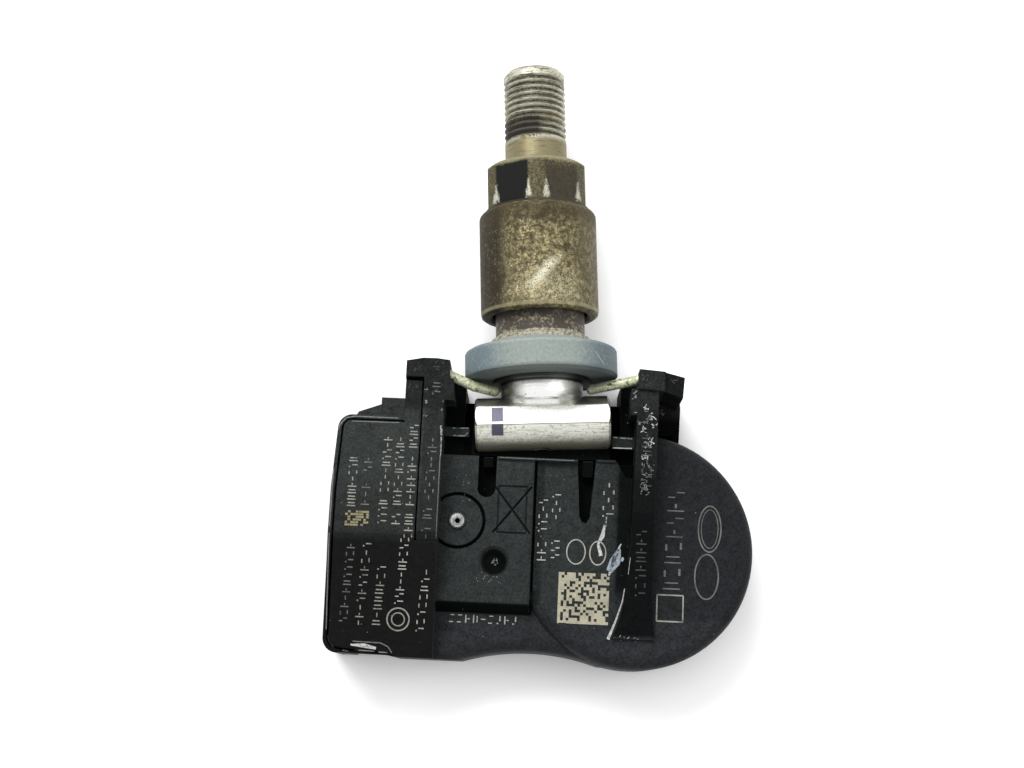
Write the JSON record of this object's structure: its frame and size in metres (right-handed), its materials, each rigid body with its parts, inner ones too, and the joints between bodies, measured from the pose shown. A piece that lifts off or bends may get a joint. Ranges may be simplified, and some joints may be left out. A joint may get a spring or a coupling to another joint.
{
  "type": "tyre pressure sensor",
  "caption": "Clamp-in tyre pressure sensor: black moulded housing with round battery dome, pivoting aluminium valve with threaded tip, collar nut and rubber grommet, held by a wire clip.",
  "frame": {"origin": "on the valve axis, in the plane of the grommet's sealing lip that meets the wheel", "axes": "+Y along the valve towards its threaded tip, +Z out of the printed face of the housing, +X to the battery dome's side"},
  "size_m": [0.0514, 0.0745, 0.0187],
  "materials": {
    "housing_plastic": "moulded black, fine texture",
    "cover_plastic": "moulded black, worn edge",
    "back_plastic": "moulded black",
    "board_green": "solder mask",
    "chip_black": "moulded package",
    "eyelet_metal": "polished",
    "seal_silicone": "silicone",
    "ferrite": "sintered",
    "copper_wire": "enamelled",
    "can_metal": "satin",
    "ceramic": "ceramic",
    "antenna_brass": "satin",
    "cell_steel": "brushed",
    "tab_nickel": "satin",
    "clip_plated": "worn pale plating",
    "valve_alloy": "turned, stained",
    "grommet_rubber": "blue grey rubber",
    "nut_alloy": "anodised, dirty",
    "washer_metal": "satin",
    "core_brass": "turned",
    "core_seal": "red seal",
    "cup_rubber": "black rubber",
    "spring_steel": "wire"
  },
  "bodies": {
    "sensor_housing": {"housing": "housing_plastic", "electronics_cover": "cover_plastic", "back_cover": "back_plastic", "circuit_board": "board_green", "sensor_chip": "chip_black", "port_eyelet": "eyelet_metal", "port_seal": "seal_silicone", "lf_coil_core": "ferrite", "lf_coil_winding": "copper_wire", "crystal": "can_metal", "capacitors": "ceramic", "antenna_loop": "antenna_brass", "coin_cell": "cell_steel", "battery_tab_plus": "tab_nickel", "battery_tab_minus": "tab_nickel", "spring_clip": "clip_plated"},
    "valve": {"valve_stem": "valve_alloy", "grommet": "grommet_rubber", "valve_core_body": "core_brass", "valve_core_gasket": "core_seal", "valve_core_spring": "spring_steel"},
    "nut_carrier": {"nut_washer": "washer_metal"},
    "nut": {"collar_nut": "nut_alloy"},
    "core_pin": {"valve_core_pin": "core_brass", "valve_core_cup": "cup_rubber"}
  },
  "joints": [
    {"name": "valve_pivot", "type": "hinge", "parent": "sensor_housing", "child": "valve", "pos_m": [0, -0.0103, 0], "axis": [1, 0, 0], "range_deg": [-18, 2]},
    {"name": "nut_advance", "type": "slide", "parent": "valve", "child": "nut_carrier", "axis": [0, 1, 0], "range_m": [-0.0022, 0.0102]},
    {"name": "nut_turn", "type": "hinge", "parent": "nut_carrier", "child": "nut", "pos_m": [0, 0, 0], "axis": [0, 1, 0], "range_deg": [-792, 3672]},
    {"name": "core_pin_press", "type": "slide", "parent": "valve", "child": "core_pin", "axis": [0, -1, 0], "range_m": [0, 0.0012], "stiffness_N_per_m": 800, "deforming": ["valve_core_spring"]}
  ],
  "couplings": [
    {"joint": "nut_advance", "follows": "nut_turn", "m_per_rad": 0.00015915}
  ]
}
